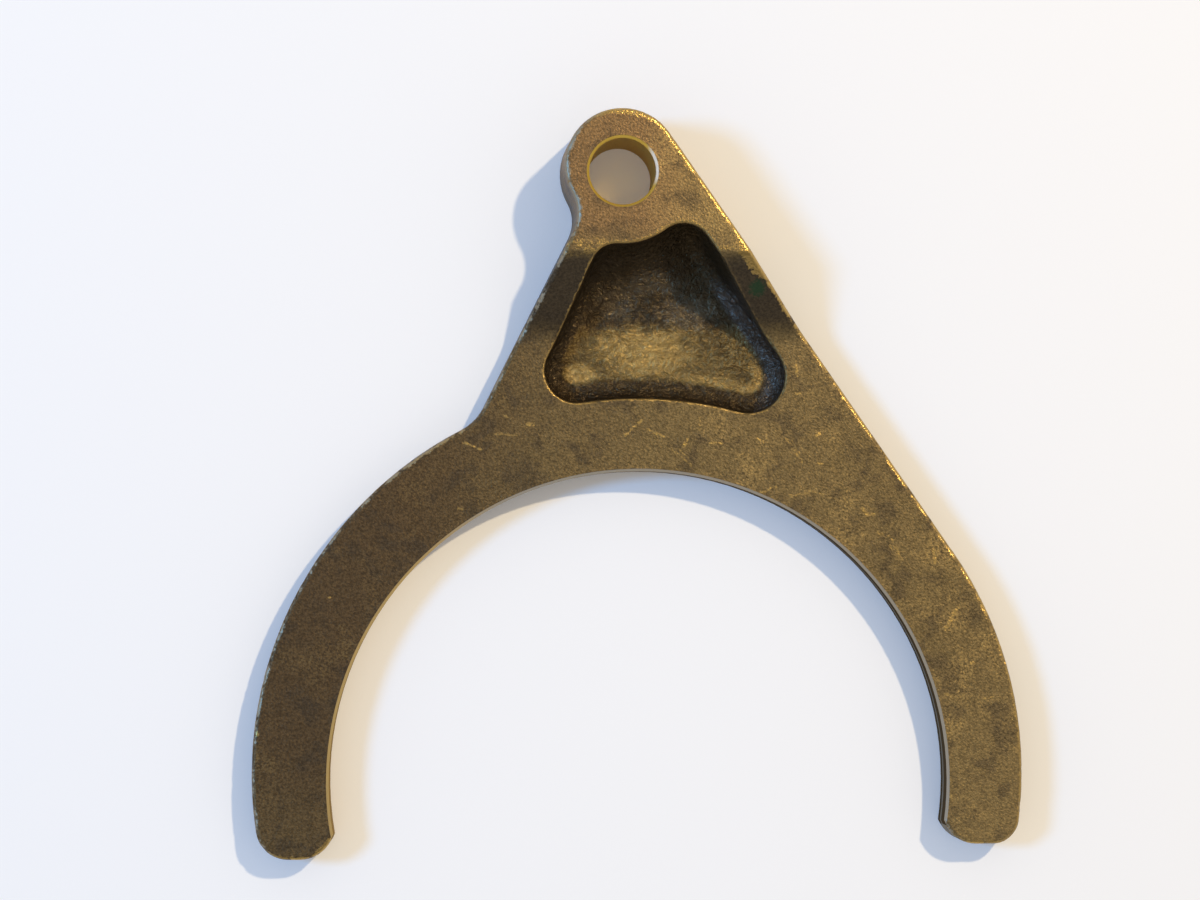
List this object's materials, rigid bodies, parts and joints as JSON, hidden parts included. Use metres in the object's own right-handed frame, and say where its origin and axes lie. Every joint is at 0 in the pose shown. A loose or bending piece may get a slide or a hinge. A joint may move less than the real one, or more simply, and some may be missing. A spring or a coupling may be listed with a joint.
{
  "type": "shift fork",
  "caption": "Cast bronze shift fork: a C-shaped fork with a bored throat, an eye for its pin and a lightening pocket.",
  "frame": {"origin": "on the throat's axis, at the flat back of the fork", "axes": "+Z along the throat and the bore, out of the face that carries the pocket; +Y from the throat towards the eye; +X towards the right arm seen from that face"},
  "size_m": [0.1195, 0.1156, 0.0143],
  "materials": {
    "bronze": "rough cast, darkened with age"
  },
  "bodies": {
    "root": {"shift_fork": "bronze"}
  },
  "joints": []
}
